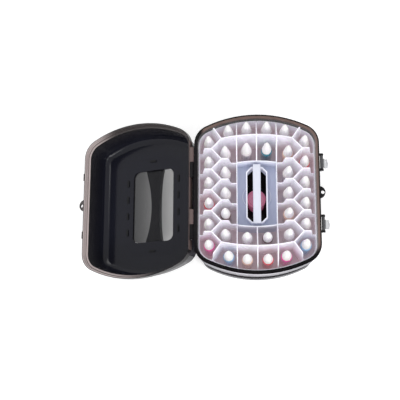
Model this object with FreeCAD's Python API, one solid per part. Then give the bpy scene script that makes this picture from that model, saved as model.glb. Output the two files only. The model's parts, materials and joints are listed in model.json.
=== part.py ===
import FreeCAD, Part
import math
import os

# Carry case for small bottles: a deep base and a domed lid of smoked clear plastic on two
# pinned hinges, two swing latches, a lift-out tray with honeycomb cells and its bottles.
# Millimetres. +Z is up, +X points to the latches, and the lid hangs open on the -X side.
# The origin is on the table, under the middle of the base.

V = FreeCAD.Vector
UP = V(0, 0, 1)
ALONG = V(0, 1, 0)

# Plan of the rim: straight sides, bowed ends, round corners
RIM_WIDTH = 204.0
RIM_LENGTH = 265.0
END_RADIUS = 189.0
CORNER_RADIUS = 33.0

# Base shell
BASE_HEIGHT = 124.0
WALL = 2.2
FLOOR = 2.5
FLANGE_WIDTH = 3.6
FLANGE_THICKNESS = 4.0
BASE_DRAFT = 0.6
SHOULDER_DEPTH = 57.0
SHOULDER_STEP = 3.0
SHOULDER_THICKNESS = 3.0
BASE_EDGE_RADIUS = 5.0

# Lid shell
LID_DEPTH = 54.5
LID_BAND = 10.0
LID_DRAFT = 6.0
LID_EDGE_RADIUS = 14.0
PARTING_GAP = 0.4
LID_REST_GAP = 0.3
LID_WALL_GAP = 1.0

# Hinges: a lid knuckle and a base knuckle on one pin, twice
HINGE_OFFSET = 3.8
HINGE_SPACING = RIM_LENGTH * 0.3925
HINGE_LENGTH = 50.0
HINGE_PIN_RADIUS = 1.4
KNUCKLE_RADIUS = 3.3
KNUCKLE_GAP = 0.4
RUNNING_CLEARANCE = 0.05

# Latches: a clear lever on a pin between two ears, hooked over a catch on the lid
LATCH_SPACING = RIM_LENGTH * 0.385
LATCH_WIDTH = 22.0
LATCH_STEM_WIDTH = 15.0
LATCH_THICKNESS = 2.2
LATCH_REACH = 3.5
LATCH_DROP = 5.0
LATCH_PIN_RADIUS = 1.25
LATCH_BARREL_RADIUS = 2.6
LATCH_OPEN_ANGLE = 140.0
LATCH_HOOK_GAP = 0.4
THUMB_RADIUS = 5.2
EAR_THICKNESS = 3.0
EAR_RADIUS = 3.2
EAR_GAP = 0.4
CATCH_WIDTH = 12.5
CATCH_REACH = 2.8
CATCH_TOP = 5.9
CATCH_THICKNESS = 4.0

# Padlock eyes, one on each rim
EYE_RADIUS = 10.0
EYE_SETBACK = 2.0
EYE_HOLE_RADIUS = 3.0
EYE_HOLE_REACH = 3.8

# Hand window in the lid, with a clipped frame and an arched grip on its outside
WINDOW_WIDTH = 78.0
WINDOW_LENGTH = 126.0
WINDOW_CORNER = 11.0
WINDOW_SHIFT = -5.8
FRAME_SIDE = 16.0
FRAME_END = 24.0
FRAME_THICKNESS = 2.8
FRAME_ROUND = 1.4
FRAME_FIT = 0.2
CLIP_LENGTH = 11.0
CLIP_THICKNESS = 3.0
CLIP_REACH = 1.6
CLIP_PITCH = 29.0
CLIP_SETBACK = 10.0
END_CLIP_SETBACK = 16.0
CLIPS_PER_SIDE = 4
GRIP_END_WIDTH = 36.0
GRIP_WAIST = 21.0
GRIP_OVERLAP = 11.0
GRIP_FOOT = 3.0
GRIP_RISE = 16.0
GRIP_THICKNESS = 7.5
GRIP_SEAT = 5.0

# Tray
TRAY_CLEARANCE = 0.8
TRAY_SEAT_GAP = 0.3
TRAY_WALL = 1.4
TRAY_FLOOR = 1.5
TRAY_TOP_DROP = 11.3
DIVIDER = 1.6
CREST_RISE = 23.0
CELL_PITCH = RIM_LENGTH * 0.1283
CREST_X = RIM_WIDTH * 0.358
JUNCTION_X = RIM_WIDTH * 0.2794
CREST_ROWS = 5
OUTER_CREST_RUN = 10.5
INNER_CREST_RUN = 10.5
CURVE_RUN = 6.0
ARC_RISE = 6.0
CORNER_LEAN = 35.0
WELL_WIDTH = RIM_WIDTH * 0.3255
WELL_LENGTH = RIM_LENGTH * 0.418
WELL_BOW = 2.5
WELL_TOP_DROP = 5.5
WELL_FLOOR_DROP = 32.0
OPENING_WIDTH = RIM_WIDTH * 0.152
OPENING_LENGTH = RIM_LENGTH * 0.34
OPENING_CHAMFER = 8.5
LIP_WIDTH = 2.0
LIP_HEIGHT = 2.5
NOTCH_LENGTH = 27.0
NOTCH_BOW = 6.5
BAR_WIDTH = 12.6
BAR_LENGTH = RIM_LENGTH * 0.37
BAR_HEIGHT = 8.0
BAR_LEG = 3.0

# Bottles
BOTTLE_RADIUS = 9.2
BOTTLE_HEIGHT = 47.5
BOTTLE_ROUND = 2.5
CAP_RADIUS = 8.4
CAP_HEIGHT = 37.0
CAP_SKIRT = 5.0
CAP_TIP_RADIUS = 2.6
BOTTLE_FLOOR_GAP = 0.3
OUTER_COLUMN_X = RIM_WIDTH * 0.38
INNER_COLUMN_X = RIM_WIDTH * 0.25
ROW_NEAR_X = RIM_WIDTH * 0.0804
ROW_FAR_X = RIM_WIDTH * 0.2255
ROW_FAR_SETBACK = 5.0

# Round jar that stands in the space under the tray
JAR_RADIUS = 16.0
JAR_HEIGHT = 34.0
JAR_CAP_HEIGHT = 12.0
JAR_CAP_STEP = 3.0
JAR_Y = 8.0

# Levels and places that follow from the sizes
RIM_TOP = BASE_HEIGHT - PARTING_GAP / 2
LID_RIM = BASE_HEIGHT + PARTING_GAP / 2
LID_TOP = BASE_HEIGHT + LID_DEPTH
PANEL_INSIDE = LID_TOP - WALL
LEDGE = BASE_HEIGHT - SHOULDER_DEPTH
HINGE_X = -RIM_WIDTH / 2 - HINGE_OFFSET
LATCH_X = RIM_WIDTH / 2 + LATCH_REACH
LATCH_Z = BASE_HEIGHT - LATCH_DROP
TRAY_INSET = FLANGE_WIDTH + WALL + BASE_DRAFT + TRAY_CLEARANCE
TRAY_BOTTOM = LEDGE + TRAY_SEAT_GAP
CELL_FLOOR = TRAY_BOTTOM + TRAY_FLOOR
TRAY_TOP = BASE_HEIGHT - TRAY_TOP_DROP
CREST = BASE_HEIGHT + CREST_RISE
WELL_TOP = BASE_HEIGHT - WELL_TOP_DROP
WELL_FLOOR = BASE_HEIGHT - WELL_FLOOR_DROP
ENDS = {"front": -1, "rear": 1}
SIDES = {"left": -1, "right": 1}


def rim_wire(inset, z):
    """Outline of the case, drawn in from the rim's edge by inset, at height z."""
    side = RIM_WIDTH / 2 - inset
    end = RIM_LENGTH / 2 - inset
    end_radius = END_RADIUS - inset
    corner = CORNER_RADIUS - inset
    centre_x = side - corner
    centre_y = end - end_radius + math.sqrt((end_radius - corner) ** 2 - centre_x ** 2)
    turn = math.atan2(centre_y - end + end_radius, centre_x)

    def on_corner(angle, sx, sy):
        x = centre_x + corner * math.cos(angle)
        y = centre_y + corner * math.sin(angle)
        return V(sx * x, sy * y, z)

    def corner_arc(sx, sy):
        return [on_corner(angle, sx, sy) for angle in (0, turn / 2, turn)]

    edges = []
    last = None
    for sx, sy in ((1, 1), (-1, 1), (-1, -1), (1, -1)):
        arc = corner_arc(sx, sy)
        if sx * sy < 0:
            arc.reverse()
        if last is not None and sx * sy < 0:
            edges.append(Part.Arc(last, V(0, sy * end, z), arc[0]).toShape())
        elif last is not None:
            edges.append(Part.makeLine(last, arc[0]))
        edges.append(Part.Arc(*arc).toShape())
        last = arc[-1]
    edges.append(Part.makeLine(last, corner_arc(1, 1)[0]))
    return Part.Wire(edges)


def slab(inset, low, high):
    """Straight-sided solid of the case's plan."""
    return Part.Face(rim_wire(inset, low)).extrude(UP * (high - low))


def taper(low_inset, low, high_inset, high):
    """Drafted solid of the case's plan."""
    return Part.makeLoft([rim_wire(low_inset, low), rim_wire(high_inset, high)], True, True)


def box(x0, x1, y0, y1, z0, z1):
    """Box between two corners."""
    return Part.makeBox(x1 - x0, y1 - y0, z1 - z0, V(x0, y0, z0))


def rod(radius, x, y0, y1, z):
    """Cylinder along Y."""
    return Part.makeCylinder(radius, y1 - y0, V(x, y0, z), ALONG)


def round_edges(solid, z, radius):
    """Fillet every edge that lies at height z."""
    edges = [e for e in solid.Edges if abs(e.BoundBox.ZMin - z) < 0.01 and abs(e.BoundBox.ZMax - z) < 0.01]
    return solid.makeFillet(radius, edges)


def rounded_box(width, length, corner, low, high):
    """Box centred on the axis, with round corners in plan."""
    solid = box(-width / 2, width / 2, -length / 2, length / 2, low, high)
    posts = [e for e in solid.Edges if e.BoundBox.ZLength > (high - low) / 2]
    return solid.makeFillet(corner, posts)


def knuckles(first, z_low, z_high):
    """One body's knuckles of both hinges: the half that starts at first, with webs to the rim."""
    half = HINGE_LENGTH / 2
    solids = []
    for end in ENDS.values():
        start = end * HINGE_SPACING / 2 + first * half
        y0 = start + KNUCKLE_GAP / 2
        y1 = start + half - KNUCKLE_GAP / 2
        solids.append(rod(KNUCKLE_RADIUS, HINGE_X, y0, y1, BASE_HEIGHT))
        solids.append(box(HINGE_X, HINGE_X + HINGE_OFFSET + WALL / 2, y0, y1, z_low, z_high))
    return solids


def hinge_bores(radius):
    """Cylinders to bore both hinges with."""
    reach = (HINGE_SPACING + HINGE_LENGTH) / 2 + HINGE_LENGTH
    return rod(radius, HINGE_X, -reach, reach, BASE_HEIGHT)


def padlock_eye(low, high):
    """Half-round tab on the free edge, with its hole left to be bored."""
    disc = Part.makeCylinder(EYE_RADIUS, high - low, V(RIM_WIDTH / 2 - EYE_SETBACK, 0, low))
    keep = RIM_WIDTH / 2 - WALL / 2
    return disc.common(box(keep, keep + 2 * EYE_RADIUS, -EYE_RADIUS, EYE_RADIUS, low, high))


def eye_bore():
    """Cylinder through both padlock eyes."""
    tall = 4 * FLANGE_THICKNESS
    return Part.makeCylinder(EYE_HOLE_RADIUS, tall, V(RIM_WIDTH / 2 + EYE_HOLE_REACH, 0, BASE_HEIGHT - tall / 2))


def latch_places():
    """Name and Y of each latch."""
    return [(name, end * LATCH_SPACING / 2) for name, end in ENDS.items()]


def base_shell():
    """Deep base: floor, lower wall, the shoulder that carries the tray, upper wall and rim flange."""
    lower_inset = FLANGE_WIDTH + BASE_DRAFT + SHOULDER_STEP
    lower = taper(lower_inset + BASE_DRAFT, 0, lower_inset, LEDGE)
    lower = round_edges(lower, 0, BASE_EDGE_RADIUS)
    upper = taper(FLANGE_WIDTH + BASE_DRAFT, LEDGE - SHOULDER_THICKNESS, FLANGE_WIDTH, RIM_TOP)
    flange = slab(0, RIM_TOP - FLANGE_THICKNESS, RIM_TOP)
    solid = lower.fuse([upper, flange])
    well = taper(lower_inset + BASE_DRAFT + WALL, FLOOR, lower_inset + WALL, LEDGE)
    well = round_edges(well, FLOOR, BASE_EDGE_RADIUS - WALL)
    mouth = taper(FLANGE_WIDTH + BASE_DRAFT + WALL, LEDGE, FLANGE_WIDTH + WALL, RIM_TOP)
    solid = solid.cut([well, mouth])
    extras = knuckles(-1, RIM_TOP - FLANGE_THICKNESS, RIM_TOP)
    extras.append(padlock_eye(RIM_TOP - FLANGE_THICKNESS, RIM_TOP))
    bores = [hinge_bores(HINGE_PIN_RADIUS), eye_bore()]
    ear_root = RIM_WIDTH / 2 - FLANGE_WIDTH - WALL / 2
    for _, y in latch_places():
        for side in SIDES.values():
            inner = y + side * (LATCH_WIDTH / 2 + EAR_GAP)
            y0 = min(inner, inner + side * EAR_THICKNESS)
            y1 = y0 + EAR_THICKNESS
            extras.append(box(ear_root, LATCH_X, y0, y1, LATCH_Z - EAR_RADIUS, LATCH_Z + EAR_RADIUS))
            extras.append(rod(EAR_RADIUS, LATCH_X, y0, y1, LATCH_Z))
    reach = LATCH_SPACING + LATCH_WIDTH
    bores.append(rod(LATCH_PIN_RADIUS, LATCH_X, -reach, reach, LATCH_Z))
    return solid.fuse(extras).removeSplitter().cut(bores)


def hinge_pin(end):
    """Pin through one hinge's two knuckles."""
    y = end * HINGE_SPACING / 2
    return rod(HINGE_PIN_RADIUS, HINGE_X, y - HINGE_LENGTH / 2, y + HINGE_LENGTH / 2, BASE_HEIGHT)


def latch_pin(y):
    """Pin from ear to ear."""
    half = LATCH_WIDTH / 2 + EAR_GAP + EAR_THICKNESS
    return rod(LATCH_PIN_RADIUS, LATCH_X, y - half, y + half, LATCH_Z)


def latch(y):
    """Swing lever: barrel, stem, hook and round thumb tab, modelled closed and swung open."""
    inner = LATCH_X
    outer = LATCH_X + LATCH_THICKNESS
    hook_low = BASE_HEIGHT + CATCH_TOP + LATCH_HOOK_GAP
    hook_high = hook_low + LATCH_THICKNESS
    half = LATCH_STEM_WIDTH / 2
    hook_tip = RIM_WIDTH / 2 + CATCH_REACH - LATCH_THICKNESS + LATCH_HOOK_GAP
    barrel = rod(LATCH_BARREL_RADIUS, LATCH_X, y - LATCH_WIDTH / 2, y + LATCH_WIDTH / 2, LATCH_Z)
    stem = box(inner, outer, y - half, y + half, LATCH_Z, hook_high)
    hook = box(hook_tip, outer, y - half, y + half, hook_low, hook_high)
    thumb = Part.makeCylinder(THUMB_RADIUS, LATCH_THICKNESS, V(inner, y, hook_high), V(1, 0, 0))
    lever = barrel.fuse([stem, hook, thumb]).removeSplitter()
    bore = rod(LATCH_PIN_RADIUS + RUNNING_CLEARANCE, LATCH_X, y - LATCH_WIDTH, y + LATCH_WIDTH, LATCH_Z)
    return lever.cut(bore).rotated(V(LATCH_X, 0, LATCH_Z), ALONG, LATCH_OPEN_ANGLE)


def lid_swing():
    """Angle from closed to open, where the lid meets the table or, on a tall base, the base's wall."""
    far = HINGE_OFFSET + RIM_WIDTH - FLANGE_WIDTH - LID_DRAFT - LID_EDGE_RADIUS
    near = HINGE_OFFSET + FLANGE_WIDTH + LID_DRAFT + LID_EDGE_RADIUS
    deep = LID_DEPTH - LID_EDGE_RADIUS
    drop = BASE_HEIGHT - LID_EDGE_RADIUS - LID_REST_GAP
    table = math.asin(drop / math.hypot(far, deep)) - math.atan2(deep, far)
    room = HINGE_OFFSET + FLANGE_WIDTH - LID_WALL_GAP - LID_EDGE_RADIUS
    wall = math.asin(room / math.hypot(near, deep)) + math.atan2(near, deep)
    return 180 + math.degrees(min(table, wall))


def swing_lid(shape):
    """Turn a lid piece from its closed place to the open rest."""
    return shape.rotated(V(HINGE_X, 0, BASE_HEIGHT), ALONG, -lid_swing())


def clip_places():
    """Plan centre of each clip round the hand window, and whether it runs along Y."""
    side = WINDOW_WIDTH / 2 + CLIP_SETBACK
    end_y = WINDOW_LENGTH / 2 + END_CLIP_SETBACK
    first = -CLIP_PITCH * (CLIPS_PER_SIDE - 1) / 2
    rows = [first + CLIP_PITCH * i for i in range(CLIPS_PER_SIDE)]
    places = [(WINDOW_SHIFT + sx * side, y, True) for sx in SIDES.values() for y in rows]
    return places + [(WINDOW_SHIFT, end * end_y, False) for end in ENDS.values()]


def clips(grow, low, high):
    """Blocks at the clip places, grown all round for their slots."""
    blocks = []
    for x, y, runs_along in clip_places():
        dx = (CLIP_THICKNESS if runs_along else CLIP_LENGTH) / 2 + grow
        dy = (CLIP_LENGTH if runs_along else CLIP_THICKNESS) / 2 + grow
        blocks.append(box(x - dx, x + dx, y - dy, y + dy, low, high))
    return blocks


def window(grow, low, high):
    """Solid of the hand window's plan."""
    solid = rounded_box(WINDOW_WIDTH + 2 * grow, WINDOW_LENGTH + 2 * grow, WINDOW_CORNER + grow, low, high)
    return solid.translated(V(WINDOW_SHIFT, 0, 0))


def lid_shell():
    """Lid: rim band, drafted wall, rounded top with a hand window and clip slots, catches, eye and knuckles."""
    band_top = BASE_HEIGHT + LID_BAND
    dome = taper(FLANGE_WIDTH, LID_RIM, FLANGE_WIDTH + LID_DRAFT, LID_TOP)
    dome = round_edges(dome, LID_TOP, LID_EDGE_RADIUS)
    solid = dome.fuse(slab(0, LID_RIM, band_top))
    hollow = taper(FLANGE_WIDTH + WALL, LID_RIM, FLANGE_WIDTH + LID_DRAFT + WALL, PANEL_INSIDE)
    hollow = round_edges(hollow, PANEL_INSIDE, LID_EDGE_RADIUS - WALL)
    solid = solid.cut([hollow, slab(WALL, LID_RIM, band_top - WALL)])
    solid = solid.cut([window(0, PANEL_INSIDE, LID_TOP)] + clips(FRAME_FIT, PANEL_INSIDE, LID_TOP))
    extras = knuckles(0, LID_RIM, LID_RIM + FLANGE_THICKNESS)
    extras.append(padlock_eye(LID_RIM, LID_RIM + FLANGE_THICKNESS))
    edge = RIM_WIDTH / 2
    catch_top = BASE_HEIGHT + CATCH_TOP
    for _, y in latch_places():
        half = CATCH_WIDTH / 2
        extras.append(box(edge - WALL / 2, edge + CATCH_REACH, y - half, y + half, catch_top - CATCH_THICKNESS, catch_top))
    solid = solid.fuse(extras).removeSplitter()
    return swing_lid(solid.cut([hinge_bores(HINGE_PIN_RADIUS + RUNNING_CLEARANCE), eye_bore()]))


def handle_frame():
    """Frame round the hand window on the lid's outside, with clips through the lid."""
    low = LID_TOP + FRAME_FIT
    plate = rounded_box(WINDOW_WIDTH + 2 * FRAME_SIDE, WINDOW_LENGTH + 2 * FRAME_END, WINDOW_CORNER + FRAME_SIDE,
                        low, low + FRAME_THICKNESS)
    plate = round_edges(plate, low + FRAME_THICKNESS, FRAME_ROUND).translated(V(WINDOW_SHIFT, 0, 0))
    plate = plate.fuse(clips(0, PANEL_INSIDE - CLIP_REACH, low + FRAME_THICKNESS / 2)).removeSplitter()
    return swing_lid(plate.cut(window(0, low, low + FRAME_THICKNESS)))


def handle_grip():
    """Arched, waisted grip over the window, with its feet on the frame's ends."""
    low = LID_TOP + FRAME_FIT + FRAME_THICKNESS
    end = WINDOW_LENGTH / 2 + GRIP_OVERLAP
    inner = end - GRIP_OVERLAP - GRIP_SEAT
    wide = GRIP_END_WIDTH / 2
    waist = GRIP_WAIST / 2
    high = low + GRIP_RISE
    corners = [V(sx * wide, sy * end, low) for sx, sy in ((1, -1), (1, 1), (-1, 1), (-1, -1))]
    plan = Part.Wire([
        Part.Arc(corners[0], V(waist, 0, low), corners[1]).toShape(),
        Part.makeLine(corners[1], corners[2]),
        Part.Arc(corners[2], V(-waist, 0, low), corners[3]).toShape(),
        Part.makeLine(corners[3], corners[0]),
    ])
    foot = low + GRIP_FOOT
    arch = Part.Wire([
        Part.makeLine(V(-wide, -inner, low), V(-wide, -end, low)),
        Part.makeLine(V(-wide, -end, low), V(-wide, -end, foot)),
        Part.Arc(V(-wide, -end, foot), V(-wide, 0, high), V(-wide, end, foot)).toShape(),
        Part.makeLine(V(-wide, end, foot), V(-wide, end, low)),
        Part.makeLine(V(-wide, end, low), V(-wide, inner, low)),
        Part.Arc(V(-wide, inner, low), V(-wide, 0, high - GRIP_THICKNESS), V(-wide, -inner, low)).toShape(),
    ])
    bar = Part.Face(plan).extrude(UP * GRIP_RISE).common(Part.Face(arch).extrude(V(2 * wide, 0, 0)))
    return swing_lid(bar.translated(V(WINDOW_SHIFT, 0, 0)))


def well_wire(grow, z):
    """Plan of the tray's middle well: straight sides and bowed ends."""
    x = WELL_WIDTH / 2 + grow
    y = WELL_LENGTH / 2 - WELL_BOW + grow
    tip = WELL_LENGTH / 2 + grow
    return Part.Wire([
        Part.makeLine(V(x, -y, z), V(x, y, z)),
        Part.Arc(V(x, y, z), V(0, tip, z), V(-x, y, z)).toShape(),
        Part.makeLine(V(-x, y, z), V(-x, -y, z)),
        Part.Arc(V(-x, -y, z), V(0, -tip, z), V(x, -y, z)).toShape(),
    ])


def well_slab(grow, low, high):
    """Solid of the well's plan."""
    return Part.Face(well_wire(grow, low)).extrude(UP * (high - low))


def opening_slab(grow, low, high):
    """Solid of the long eight-sided opening in the well's floor."""
    x = OPENING_WIDTH / 2 + grow
    y = OPENING_LENGTH / 2 + grow
    cut = OPENING_CHAMFER + grow * (2 - math.sqrt(2))
    points = []
    for sx, sy in ((1, -1), (1, 1), (-1, 1), (-1, -1)):
        side = V(sx * x, sy * (y - cut), low)
        end = V(sx * (x - cut), sy * y, low)
        points += [side, end] if sx * sy > 0 else [end, side]
    face = Part.Face(Part.makePolygon(points + points[:1]))
    return face.extrude(UP * (high - low))


def tray_shell():
    """Tray floor with the well's mouth cut out, and the outer wall."""
    solid = slab(TRAY_INSET, TRAY_BOTTOM, TRAY_TOP)
    cells = slab(TRAY_INSET + TRAY_WALL, CELL_FLOOR, TRAY_TOP)
    return solid.cut([cells, well_slab(-DIVIDER, TRAY_BOTTOM, CELL_FLOOR)])


def tray_well():
    """Well in the middle: wall, raised floor, and a lipped opening with a finger notch each side."""
    wall = well_slab(0, CELL_FLOOR, WELL_TOP).cut(well_slab(-DIVIDER, CELL_FLOOR, WELL_TOP))
    floor = well_slab(-DIVIDER / 2, WELL_FLOOR - TRAY_FLOOR, WELL_FLOOR)
    lip = opening_slab(LIP_WIDTH, WELL_FLOOR, WELL_FLOOR + LIP_HEIGHT)
    side = OPENING_WIDTH / 2 + LIP_WIDTH
    notches = []
    for grow in (LIP_WIDTH, 0):
        half = NOTCH_LENGTH / 2 + grow
        bow = side + NOTCH_BOW - LIP_WIDTH + grow
        for sx in SIDES.values():
            a = V(sx * (side - LIP_WIDTH / 2), -half, WELL_FLOOR)
            b = V(sx * bow, 0, WELL_FLOOR)
            c = V(sx * (side - LIP_WIDTH / 2), half, WELL_FLOOR)
            edge = Part.Wire([Part.Arc(a, b, c).toShape(), Part.makeLine(c, a)])
            notches.append(Part.Face(edge).extrude(UP * LIP_HEIGHT))
    outer, inner = notches[:2], notches[2:]
    rims = [o.cut(i) for o, i in zip(outer, inner)]
    solid = wall.fuse([floor, lip] + rims).removeSplitter()
    return solid.cut(opening_slab(0, WELL_FLOOR - TRAY_FLOOR, WELL_FLOOR + LIP_HEIGHT))


def tray_handle():
    """Lifting bar over the opening, on a leg at each end that stands on the well's floor."""
    half = BAR_WIDTH / 2
    end = BAR_LENGTH / 2
    bar = box(-half, half, -end, end, WELL_TOP - BAR_HEIGHT, WELL_TOP)
    edges = [e for e in bar.Edges if e.BoundBox.YLength > end]
    bar = bar.makeFillet(BAR_HEIGHT / 4, edges)
    legs = [box(-half, half, *sorted((s * end, s * (end - BAR_LEG))), WELL_FLOOR, WELL_TOP - BAR_HEIGHT)
            for s in ENDS.values()]
    bar = bar.fuse(legs).removeSplitter()
    return bar.cut(opening_slab(LIP_WIDTH, WELL_FLOOR, WELL_FLOOR + LIP_HEIGHT))


def row_y(step):
    """Y of a row of the honeycomb, counted in half pitches from the middle."""
    return step * CELL_PITCH / 2


def zigzag(side):
    """Folded wall of one side, as panels that meet on their folds."""
    span = CREST_ROWS
    slope = (CREST_X - JUNCTION_X) / (CELL_PITCH / 2)
    half = DIVIDER / 2 * math.hypot(1, slope)
    panels = []
    for step in range(-span, span):
        x0, x1 = (JUNCTION_X, CREST_X) if (step + span) % 2 == 0 else (CREST_X, JUNCTION_X)
        points = [V(side * (x0 - half), row_y(step), CELL_FLOOR), V(side * (x0 + half), row_y(step), CELL_FLOOR),
                  V(side * (x1 + half), row_y(step + 1), CELL_FLOOR), V(side * (x1 - half), row_y(step + 1), CELL_FLOOR)]
        panels.append(Part.Face(Part.makePolygon(points + points[:1])).extrude(UP * (CREST - CELL_FLOOR)))
    return panels


def fin(start, heading, crest_run, length, low_level):
    """Divider with a level crest, a smooth fall and a low end, standing on the tray's floor."""
    across = V(-heading.y, heading.x, 0)

    def at(run, z):
        return V(start.x, start.y, 0) + heading * run - across * (DIVIDER / 2) + UP * z

    fall_end = crest_run + CURVE_RUN
    middle = crest_run + CURVE_RUN / 2
    fall = Part.BezierCurve()
    fall.setPoles([at(crest_run, CREST), at(middle, CREST), at(middle, low_level), at(fall_end, low_level)])
    outline = Part.Wire([
        Part.makeLine(at(0, CELL_FLOOR), at(0, CREST)),
        Part.makeLine(at(0, CREST), at(crest_run, CREST)),
        fall.toShape(),
        Part.makeLine(at(fall_end, low_level), at(length, low_level)),
        Part.makeLine(at(length, low_level), at(length, CELL_FLOOR)),
        Part.makeLine(at(length, CELL_FLOOR), at(0, CELL_FLOOR)),
    ])
    return Part.Face(outline).extrude(across * DIVIDER)


def cell_space():
    """Room inside the tray's outer wall, up to the crests."""
    return slab(TRAY_INSET + TRAY_WALL, CELL_FLOOR, CREST)


def outer_fins(side, walls):
    """Dividers from the folds out to the outer wall."""
    fins = []
    for step in range(1 - CREST_ROWS, CREST_ROWS, 2):
        whole = fin(V(side * CREST_X, row_y(step), 0), V(side, 0, 0), OUTER_CREST_RUN, CREST_X, TRAY_TOP)
        fins.append(whole.common(cell_space()).cut(walls))
    return fins


def inner_fins(side, walls):
    """Dividers from the folds in to the well."""
    length = JUNCTION_X - WELL_WIDTH / 2
    fins = []
    for step in range(2 - CREST_ROWS, CREST_ROWS - 1, 2):
        whole = fin(V(side * JUNCTION_X, row_y(step), 0), V(-side, 0, 0), INNER_CREST_RUN, length, WELL_TOP)
        fins.append(whole.cut(walls))
    return fins


def corner_fins(side, walls):
    """Dividers from the ends of the folded wall to the case's corners."""
    lean = math.radians(CORNER_LEAN)
    fins = []
    for end in ENDS.values():
        start = V(side * JUNCTION_X, end * row_y(CREST_ROWS), 0)
        heading = V(side * math.sin(lean), end * math.cos(lean), 0)
        whole = fin(start, heading, 2 * OUTER_CREST_RUN, CELL_PITCH * 2, TRAY_TOP)
        fins.append(whole.common(cell_space()).cut(walls))
    return fins


def arc_wall(end, walls):
    """Bowed wall between the two folded walls, in one piece for each cell."""
    chord = row_y(CREST_ROWS)
    half = DIVIDER / 2
    rims = []
    for grow in (half, -half):
        reach = JUNCTION_X
        rims.append([V(-reach, end * (chord + grow), CELL_FLOOR), V(0, end * (chord + ARC_RISE + grow), CELL_FLOOR),
                     V(reach, end * (chord + grow), CELL_FLOOR)])
    outer, inner = rims
    outline = Part.Wire([
        Part.Arc(*outer).toShape(),
        Part.makeLine(outer[2], inner[2]),
        Part.Arc(*reversed(inner)).toShape(),
        Part.makeLine(inner[0], outer[0]),
    ])
    band = Part.Face(outline).extrude(UP * (CREST - CELL_FLOOR)).cut(walls)
    cuts = [-JUNCTION_X, -WELL_WIDTH / 2, 0, WELL_WIDTH / 2, JUNCTION_X]
    reach = RIM_LENGTH / 2
    return [band.common(box(a, b, -reach, reach, CELL_FLOOR, CREST)) for a, b in zip(cuts, cuts[1:])]


def row_fins(end, walls):
    """Sloping dividers of the end rows and of the cells between them and the well."""
    bow_radius = (JUNCTION_X ** 2 + ARC_RISE ** 2) / (2 * ARC_RISE)
    wall_y = RIM_LENGTH / 2 - TRAY_INSET
    well_y = WELL_LENGTH / 2 - WELL_BOW
    edge = WELL_WIDTH / 2 - DIVIDER / 2
    stops = walls + [well_slab(0, CELL_FLOOR, CREST)]
    fins = []
    for x in (-edge, 0, edge):
        left = x - DIVIDER / 2
        near = row_y(CREST_ROWS) + ARC_RISE - bow_radius + math.sqrt(bow_radius ** 2 - x ** 2)
        for far, far_level in ((wall_y, TRAY_TOP), (well_y - DIVIDER, WELL_TOP)):
            points = [V(left, end * near, CELL_FLOOR), V(left, end * near, CREST),
                      V(left, end * far, far_level), V(left, end * far, CELL_FLOOR)]
            plate = Part.Face(Part.makePolygon(points + points[:1])).extrude(V(DIVIDER, 0, 0))
            fins.append(plate.common(cell_space()).cut(stops))
    return fins


def bottle_places():
    """Plan centre of every bottle, from the rear left to the front right of each ring."""
    outer_rows = [row_y(step) for step in range(CREST_ROWS, -CREST_ROWS - 1, -2)]
    inner_rows = [row_y(step) for step in range(CREST_ROWS - 1, -CREST_ROWS, -2)]
    places = [(s * OUTER_COLUMN_X, y) for y in outer_rows for s in SIDES.values()]
    places += [(s * INNER_COLUMN_X, y) for y in inner_rows for s in SIDES.values()]
    band = row_y(CREST_ROWS) + ARC_RISE
    row = (band + RIM_LENGTH / 2 - TRAY_INSET) / 2
    middle = (band + WELL_LENGTH / 2) / 2
    for end in (ENDS["rear"], ENDS["front"]):
        for s in SIDES.values():
            places.append((s * ROW_FAR_X, end * (row - ROW_FAR_SETBACK)))
            places.append((s * ROW_NEAR_X, end * row))
            places.append((s * ROW_NEAR_X, end * middle))
    return places


def turned(profile, x, y):
    """Round solid from the radius and height of each point of its profile."""
    points = [V(radius, 0, z) for radius, z in profile]
    edges = [Part.makeLine(a, b) for a, b in zip(points, points[1:] + points[:1])]
    return Part.Face(Part.Wire(edges)).revolve(V(0, 0, 0), UP, 360).translated(V(x, y, 0))


def bottle(x, y):
    """Bottle body: a cylinder with a bevelled foot, just over the tray's floor."""
    low = CELL_FLOOR + BOTTLE_FLOOR_GAP
    high = low + BOTTLE_HEIGHT
    return turned([(0, low), (BOTTLE_RADIUS - BOTTLE_ROUND, low), (BOTTLE_RADIUS, low + BOTTLE_ROUND),
                   (BOTTLE_RADIUS, high), (0, high)], x, y)


def cap(x, y):
    """Tall conical cap with a short skirt and a bevelled tip."""
    low = CELL_FLOOR + BOTTLE_FLOOR_GAP + BOTTLE_HEIGHT
    high = low + CAP_HEIGHT
    return turned([(0, low), (CAP_RADIUS, low), (CAP_RADIUS, low + CAP_SKIRT), (CAP_TIP_RADIUS, high - CAP_TIP_RADIUS / 2),
                   (CAP_TIP_RADIUS / 2, high), (0, high)], x, y)


def bottle_groups():
    """Bottle bodies by the colour that they hold, from their numbers in bottle_places; the rest are milky."""
    coloured = {"red": (3, 6, 32), "pink": (10, 31), "blue": (11, 28), "teal": (27,), "dark": (18, 33),
                "peach": (13, 19, 29)}
    places = bottle_places()
    named = {number for numbers in coloured.values() for number in numbers}
    groups = {"bottles_" + colour: [bottle(*places[n]) for n in numbers] for colour, numbers in coloured.items()}
    groups["bottles_milky"] = [bottle(*place) for n, place in enumerate(places) if n not in named]
    return groups


def jar_cup():
    """Round jar on the base's floor."""
    radius = JAR_RADIUS - JAR_CAP_STEP / 2
    return turned([(0, FLOOR), (radius, FLOOR), (radius, FLOOR + JAR_HEIGHT), (0, FLOOR + JAR_HEIGHT)], 0, JAR_Y)


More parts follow.
